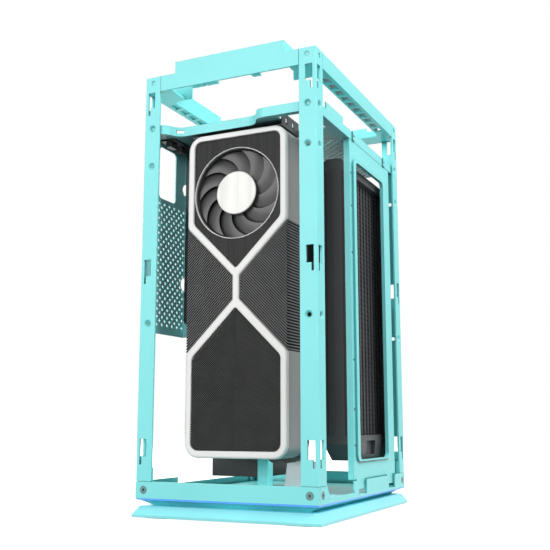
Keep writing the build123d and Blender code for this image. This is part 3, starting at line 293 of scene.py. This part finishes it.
def paint_hollow_shade(material, tone, reach, open_range, tops_kept_lit=False):
    # Painted shade: holes, seams and inner corners take a deeper tone; faces that look up may be
    # spared, and so stay painted as lit.
    tree = material.node_tree
    hollow = tree.nodes.new("ShaderNodeAmbientOcclusion")
    hollow.samples = HOLLOW_SHADE_SAMPLES
    hollow.inputs["Distance"].default_value = reach
    lightness = ranged(tree, hollow.outputs["AO"], open_range)
    if tops_kept_lit:
        normal = geometry_axes(tree, "True Normal")
        lightness = calculated(tree, "MAXIMUM", lightness, normal["Z"])
    mix = mix_into_base(material)
    mix["Color1"].default_value = (*tone, 1)
    tree.links.new(lightness, mix["Fac"])


def fins_with_wall_shade(name, front):
    # Painted light and shade: the cut front and side faces keep the lighter colour, and the
    # walls between them are painted near-black shade.
    material = finish_material(
        name, front, metallic=0.1, roughness=0.6, spread=0.12, grain=1800.0, edge=0.0,
        cloud=60.0, specular=0.08,
    )
    tree = material.node_tree
    normal = geometry_axes(tree, "True Normal")
    sides = [calculated(tree, "ABSOLUTE", normal[axis]) for axis in ("X", "Y")]
    outer = calculated(tree, "MAXIMUM", *sides)
    mix = mix_into_base(material)
    mix["Color1"].default_value = (*FIN_WALL_SHADE, 1)
    tree.links.new(ranged(tree, outer, FIN_EDGE_RANGE), mix["Fac"])
    return material


def paint_side_shade(material, node_name, lines):
    # Long lines down the side, told apart by how far in they lie: painted shade in the grooves
    # and painted light and shade on the steps.
    low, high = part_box(node_name)
    tree = material.node_tree
    place = geometry_axes(tree, "Position")
    ramp = tree.nodes.new("ShaderNodeValToRGB")
    keys = ramp.color_ramp.elements
    for position, _ in lines[1:-1]:
        keys.new(position)
    for key, (position, tone) in zip(keys, lines):
        key.position = position
        key.color = (tone, tone, tone * LINE_BLUE, 1)
    tree.links.new(ranged(tree, place["X"], (low[0], high[0])), ramp.inputs["Fac"])
    mix = mix_into_base(material)
    mix["Fac"].default_value = LINE_CLOUD_SHARE
    tree.links.new(ramp.outputs["Color"], mix["Color1"])


powder_coat_with_shade = finish_material("powder_coat_with_shade", TURQUOISE, **PAINT)
# Painted shade darkens the paint's holes, seams and inner corners.
paint_hollow_shade(powder_coat_with_shade, HOLLOW_SHADE_TEAL, HOLLOW_SHADE_REACH, HOLLOW_SHADE_RANGE)
# The shelf paint carries painted shade below it, reaching far; faces that look up keep the lit
# colour.
shelf_coat_with_shade = finish_material("shelf_coat_with_shade", TURQUOISE, **PAINT)
paint_hollow_shade(shelf_coat_with_shade, SHELF_SHADE, SHELF_SHADE_REACH, SHELF_SHADE_RANGE, tops_kept_lit=True)
# A lighter copy of the frame paint for the side bracket: painted light.
lit_wall_coat = finish_material("lit_wall_coat", WALL_LIT_TURQUOISE, **PAINT)
foot_plastic = finish_material(
    "foot_plastic", TURQUOISE_FOOT, roughness=0.38, spread=0.03, grain=2200.0, grain_height=0.012
)
neck_plastic = finish_material("neck_plastic", NECK_BLUE, roughness=0.32, spread=0.2)
strip_glow = glow_material("strip_glow", GLOW_BLUE)
pad_rubber = finish_material(
    "pad_rubber", RUBBER, roughness=0.8, spread=0.2, grain=2600.0, grain_height=0.05
)
card_silver = finish_material(
    "card_silver", SILVER, metallic=0.1, roughness=0.5, spread=0.03, grain=2600.0,
    grain_height=0.008, edge=2.4, specular=0.35,
)
hub_silver = finish_material(
    "hub_silver", HUB_SILVER, metallic=0.1, spread=0.09, grain_height=0.01,
    stretch=(1, 1, 0.03), cloud=120.0, edge=0.6, specular=0.35,
)
card_grey = finish_material(
    "card_grey", SHELL_GREY, metallic=0.4, spread=0.05, grain=2200.0, grain_height=0.012
)
brushed_panel = finish_material(
    "brushed_panel", PANEL_GREY, metallic=0.1, roughness=0.5, roughness_spread=0.1, spread=0.3,
    grain=420.0, stretch=(2.6, 1, 0.02), cloud=340.0, specular=0.12,
)
# Fin and grille walls are painted near-black shade; their fronts keep the lighter colour.
fin_black = fins_with_wall_shade("fin_black", FIN_FRONT)
grille_black = fins_with_wall_shade("grille_black", GRILLE_FRONT)
cup_grey = finish_material(
    "cup_grey", CUP_GREY, roughness=0.5, spread=0.1, grain=1900.0, edge=0.0, specular=0.25
)
bracket_grey = finish_material(
    "bracket_grey", BRACKET_GREY, metallic=0.3, spread=0.1, grain=1200.0, specular=0.3
)
radiator_black = finish_material(
    "radiator_black", RADIATOR_BLACK, roughness=0.5, spread=0.2, grain=1300.0
)
tube_black = finish_material(
    "tube_black", TUBE_BLACK, roughness=0.5, spread=0.2, grain=1300.0, edge=0.0, specular=0.3
)
pleat_black = finish_material(
    "pleat_black", PLEAT_BLACK, roughness=0.55, spread=0.25, grain=1300.0, edge=0.0, specular=0.1
)
plastic_black = finish_material("plastic_black", PLASTIC_BLACK, spread=0.2, grain=1900.0)
rotor_grey = finish_material(
    "rotor_grey", ROTOR_GREY, roughness=0.36, spread=0.1, grain=1900.0, grain_height=0.01,
    edge=0.0, specular=0.45,
)
board_black = finish_material(
    "board_black", BOARD_BLACK, roughness=0.4, spread=0.3, grain=700.0, cloud=120.0
)
plain_steel = finish_material(
    "plain_steel", STEEL, metallic=0.8, roughness=0.38, spread=0.08, stretch=(1, 0.2, 1)
)
screw_steel = finish_material(
    "screw_steel", SCREW_GREY, metallic=0.3, roughness=0.4, spread=0.1, grain=1500.0
)
# Painted shade in the grooves and painted light and shade on the steps down the radiator
# channel's side.
shade_lined_black = finish_material(
    "shade_lined_black", RADIATOR_BLACK, roughness=0.5, spread=0.15, grain=1300.0, specular=0.35
)
paint_side_shade(shade_lined_black, "front_channel", SIDE_SHADE_LINES)

DRESS = {
    "frame_paint": powder_coat_with_shade,
    "foot_plastic": foot_plastic,
    "neck_plastic": neck_plastic,
    "pad_rubber": pad_rubber,
    "strip_light": strip_glow,
    "screw_steel": screw_steel,
    "card_silver": card_silver,
    "card_grey": card_grey,
    "panel_dark": brushed_panel,
    "card_black": plastic_black,
    "rotor_grey": rotor_grey,
    "fin_black": fin_black,
    "board_black": board_black,
    "plain_steel": plain_steel,
    "supply_black": plastic_black,
    "radiator_black": radiator_black,
    "fan_black": plastic_black,
}

# Pieces whose look differs from the rest of their slot; some carry painted shade or painted
# light
SPECIAL = {
    "lower_grille": grille_black,
    "fan_cup": cup_grey,
    "card_bracket": bracket_grey,
    "front_port": bracket_grey,
    "rear_port": bracket_grey,
    "radiator_core": tube_black,
    "upright": powder_coat_with_shade,
    "io_shelf": shelf_coat_with_shade,
    "hub_cap": hub_silver,
    "side_bracket": lit_wall_coat,
    "front_channel": shade_lined_black,
}
for node_name, node in nodes.items():
    node.data.materials.clear()
    node.data.materials.append(SPECIAL.get(node_name, DRESS[slot_of[node_name]]))


# Added pieces
def mesh_from(name, bm):
    mesh = bpy.data.meshes.new(name)
    bm.to_mesh(mesh)
    bm.free()
    return mesh


def add_object(name, data):
    thing = bpy.data.objects.new(name, data)
    bpy.context.scene.collection.objects.link(thing)
    return thing


def piece_from(name, bm, material, body):
    piece = add_object(name, mesh_from(name, bm))
    piece.data.materials.append(material)
    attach(piece, body)
    return piece


# Radiator fins: a pleated strip on each face of every gap between the tubes
core_low, core_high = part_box("radiator_core")
tube_pitch = (core_high[1] - core_low[1]) / TUBES
pleats = int((core_high[2] - core_low[2]) / PLEAT)
fins = bmesh.new()
for gap in range(TUBES - 1):
    start_y = core_low[1] + tube_pitch * (gap + 0.5) + TUBE_WIDTH / 2
    end_y = start_y + tube_pitch - TUBE_WIDTH
    for front_x, back_x in (
        (core_high[0] - PLEAT_INSET, core_high[0] - PLEAT_INSET - PLEAT_DEPTH),
        (core_low[0] + PLEAT_INSET, core_low[0] + PLEAT_INSET + PLEAT_DEPTH),
    ):
        last = None
        for step in range(pleats + 1):
            at_z = core_low[2] + step * PLEAT
            at_y = start_y if step % 2 else end_y
            row = (fins.verts.new((front_x, at_y, at_z)), fins.verts.new((back_x, at_y, at_z)))
            if last:
                fins.faces.new((last[0], row[0], row[1], last[1]))
            last = row
radiator_fins = piece_from("radiator_fins", fins, pleat_black, "case")
thick = radiator_fins.modifiers.new("thickness", "SOLIDIFY")
thick.thickness = PLEAT_SHEET

# Lip returns: the inner edges of the slotted lips are folded up inside the top frame
outline = (
    (RETURN_FRONT_Y, LIP_TOP_Z),
    (RETURN_BACK_Y, LIP_TOP_Z),
    (RETURN_BACK_Y, RETURN_TOP_Z - RETURN_CORNER),
    (RETURN_BACK_Y - RETURN_CORNER, RETURN_TOP_Z),
    (RETURN_FRONT_Y + RETURN_CORNER, RETURN_TOP_Z),
    (RETURN_FRONT_Y, RETURN_TOP_Z - RETURN_CORNER),
)
returns = bmesh.new()
for side in (-1, 1):
    inner, outer = [
        [returns.verts.new((side * at_x, at_y, at_z)) for at_y, at_z in outline]
        for at_x in (LIP_EDGE_X, LIP_EDGE_X + RETURN_SHEET)
    ]
    returns.faces.new(inner)
    returns.faces.new(list(reversed(outer)))
    for index in range(len(outline)):
        after = (index + 1) % len(outline)
        returns.faces.new((inner[index], outer[index], outer[after], inner[after]))
bmesh.ops.recalc_face_normals(returns, faces=returns.faces)
# The returns carry the shelf paint's painted shade.
lip_returns = piece_from("lip_returns", returns, shelf_coat_with_shade, "case")
rounded = lip_returns.modifiers.new("rounded", "BEVEL")
rounded.width = RETURN_ROUND
rounded.segments = RETURN_ROUND_STEPS


# Fan rotors: a rounded hub with cambered, swept blades
def rotor_place(centre, right, up, front):
    axes = Matrix((right, up, front)).transposed()
    return Matrix.Translation(centre) @ axes.to_4x4()


def between(ends, share):
    return ends[0] + (ends[1] - ends[0]) * share


def blade_points(turn, hub, tip, depth, shape):
    rows = []
    for i in range(SPAN_STEPS + 1):
        share = i / SPAN_STEPS
        radius = between((hub, tip), share)
        chord = between(shape["chords"], share)
        pitch = radians(between(shape["pitches"], share))
        row = []
        for j in range(CHORD_STEPS + 1):
            along = j / CHORD_STEPS - 0.5
            camber = CAMBER * chord * (1 - (2 * along) ** 2)
            run = along * chord * cos(pitch)
            rise = along * chord * sin(pitch) + camber
            angle = turn + radians(shape["sweep"]) * share ** SWEEP_POWER + run / radius
            row.append((radius * cos(angle), radius * sin(angle), rise - depth / 2))
        rows.append(row)
    return rows


def add_sheet(bm, rows, thickness):
    # A curved sheet with a back, closed round its edge.
    front = [[bm.verts.new(point) for point in row] for row in rows]
    back = [[bm.verts.new((x, y, z - thickness)) for x, y, z in row] for row in rows]
    last_row, last_column = len(rows) - 1, len(rows[0]) - 1
    for i in range(last_row):
        for j in range(last_column):
            bm.faces.new((front[i][j], front[i + 1][j], front[i + 1][j + 1], front[i][j + 1]))
            bm.faces.new((back[i][j], back[i][j + 1], back[i + 1][j + 1], back[i + 1][j]))
    for i in range(last_row):
        bm.faces.new((front[i][0], back[i][0], back[i + 1][0], front[i + 1][0]))
        bm.faces.new((front[i][-1], front[i + 1][-1], back[i + 1][-1], back[i][-1]))
    for j in range(last_column):
        bm.faces.new((front[0][j], front[0][j + 1], back[0][j + 1], back[0][j]))
        bm.faces.new((front[-1][j], back[-1][j], back[-1][j + 1], front[-1][j + 1]))


def add_turned(bm, profile):
    # A profile of (radius, height) points turned round the local Z axis.
    turns = [tau * k / HUB_STEPS for k in range(HUB_STEPS)]
    rings = [
        [bm.verts.new((radius * cos(turn), radius * sin(turn), height)) for turn in turns]
        for radius, height in profile
    ]
    for lower, upper in zip(rings, rings[1:]):
        for k in range(HUB_STEPS):
            after = (k + 1) % HUB_STEPS
            bm.faces.new((lower[k], lower[after], upper[after], upper[k]))
    bm.faces.new(rings[-1])
    bm.faces.new(list(reversed(rings[0])))


def build_rotor(name, node, body, place, hub, tip, depth, shape, material):
    bm = bmesh.new()
    for index in range(shape["blades"]):
        turn = tau * index / shape["blades"]
        add_sheet(bm, blade_points(turn, hub - BLADE_ROOT, tip, depth, shape), BLADE_SHEET)
    add_turned(bm, [
        (hub, -depth),
        (hub, -HUB_EDGE),
        (hub - HUB_EDGE_SHARE * HUB_EDGE, -HUB_EDGE_SHARE * HUB_EDGE),
        (hub - HUB_EDGE, 0.0),
    ])
    bmesh.ops.recalc_face_normals(bm, faces=bm.faces)
    bm.transform(place)
    rotor = piece_from(name, bm, material, body)
    rotor.data.shade_smooth()
    rotor.data.set_sharp_from_angle(angle=radians(SHARP_ANGLE))
    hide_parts(node)


card_low, card_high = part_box("card_rotor")
cap_low, cap_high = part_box("hub_cap")
card_axis = ((cap_low[0] + cap_high[0]) / 2, card_low[1], (cap_low[2] + cap_high[2]) / 2)
card_hub = (cap_high[0] - cap_low[0]) / 2
cup_low, cup_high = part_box("fan_cup")
card_tip = (cup_high[0] - cup_low[0]) / 2 - CUP_WALL - RUNNING_GAP
build_rotor(
    "card_fan_blades", "card_rotor", "card_fan",
    rotor_place(card_axis, (1, 0, 0), (0, 0, 1), (0, -1, 0)),
    card_hub, card_tip, card_high[1] - card_low[1], CARD_BLADES, rotor_grey,
)
for side in ("upper", "lower"):
    frame_low, frame_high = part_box(f"{side}_fan_frame")
    wheel_low, wheel_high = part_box(f"{side}_fan_rotor")
    axis_point = (
        wheel_low[0],
        (frame_low[1] + frame_high[1]) / 2,
        (frame_low[2] + frame_high[2]) / 2,
    )
    build_rotor(
        f"{side}_fan_blades", f"{side}_fan_rotor", f"{side}_fan",
        rotor_place(axis_point, (0, 1, 0), (0, 0, -1), (-1, 0, 0)),
        RADIATOR_FAN_HUB, RADIATOR_FAN_TIP, wheel_high[0] - wheel_low[0],
        RADIATOR_BLADES, plastic_black,
    )

# Camera
camera_data = bpy.data.cameras.new("camera")
camera_data.lens = CAMERA_LENS
camera_data.sensor_fit = "HORIZONTAL"
camera_data.sensor_width = CAMERA_SENSOR
camera_data.clip_start = CAMERA_CLIP
camera = add_object("camera", camera_data)
camera.location = CAMERA_PLACE
camera.rotation_euler = (radians(90 + CAMERA_PITCH), 0, radians(CAMERA_TURN))
bpy.context.scene.camera = camera

# Lamps: soft squares
for name, place, target, width, power in LAMPS:
    lamp_data = bpy.data.lights.new(name, "AREA")
    lamp_data.shape = "RECTANGLE"
    lamp_data.size = width
    lamp_data.size_y = width
    lamp_data.energy = power
    lamp = add_object(name, lamp_data)
    lamp.location = place
    aim = Vector(target) - Vector(place)
    lamp.rotation_euler = aim.to_track_quat("-Z", "Y").to_euler()


# Backdrop: a white world, and a white floor that keeps the shadow
def plain_shader(tree, kind, color):
    plain = tree.nodes.new(kind)
    plain.inputs["Color"].default_value = (*color, 1)
    return plain


def show_backdrop(tree, output, lighting, shown):
    # Camera, transmission and glossy rays meet the shown shader, and all others the lighting.
    paths = tree.nodes.new("ShaderNodeLightPath")
    seen_by = paths.outputs["Is Camera Ray"]
    for ray in ("Is Transmission Ray", "Is Glossy Ray"):
        seen_by = calculated(tree, "MAXIMUM", seen_by, paths.outputs[ray])
    mix = tree.nodes.new("ShaderNodeMixShader")
    tree.links.new(seen_by, mix.inputs["Fac"])
    tree.links.new(lighting, mix.inputs[1])
    tree.links.new(shown, mix.inputs[2])
    surface = tree.nodes.new(output).inputs["Surface"]
    tree.links.new(mix.outputs["Shader"], surface)


world = bpy.data.worlds.new("studio")
bpy.context.scene.world = world
world.use_nodes = True
sky = world.node_tree
sky.nodes.clear()
sky_shown = plain_shader(sky, "ShaderNodeBackground", WHITE)
sky_light = plain_shader(sky, "ShaderNodeBackground", SKY_LIGHT)
sky_light.inputs["Strength"].default_value = SKY_STRENGTH
show_backdrop(
    sky, "ShaderNodeOutputWorld",
    sky_light.outputs["Background"], sky_shown.outputs["Background"],
)

ground = bmesh.new()
bmesh.ops.create_grid(
    ground, x_segments=FLOOR_PARTS, y_segments=FLOOR_PARTS, size=FLOOR_REACH
)
floor = add_object("floor", mesh_from("floor", ground))
floor_material = bpy.data.materials.new("floor_white")
floor_material.use_nodes = True
paint = floor_material.node_tree
paint.nodes.clear()
white = plain_shader(paint, "ShaderNodeBsdfDiffuse", FLOOR_WHITE)
bright = plain_shader(paint, "ShaderNodeEmission", WHITE)
bright.inputs["Strength"].default_value = FLOOR_GLOW
lit = paint.nodes.new("ShaderNodeAddShader")
paint.links.new(white.outputs["BSDF"], lit.inputs[0])
paint.links.new(bright.outputs["Emission"], lit.inputs[1])
dim = plain_shader(paint, "ShaderNodeBsdfDiffuse", FLOOR_DIM)
show_backdrop(
    paint, "ShaderNodeOutputMaterial", dim.outputs["BSDF"], lit.outputs["Shader"]
)
floor.data.materials.append(floor_material)

bpy.context.scene.view_settings.view_transform = "Standard"
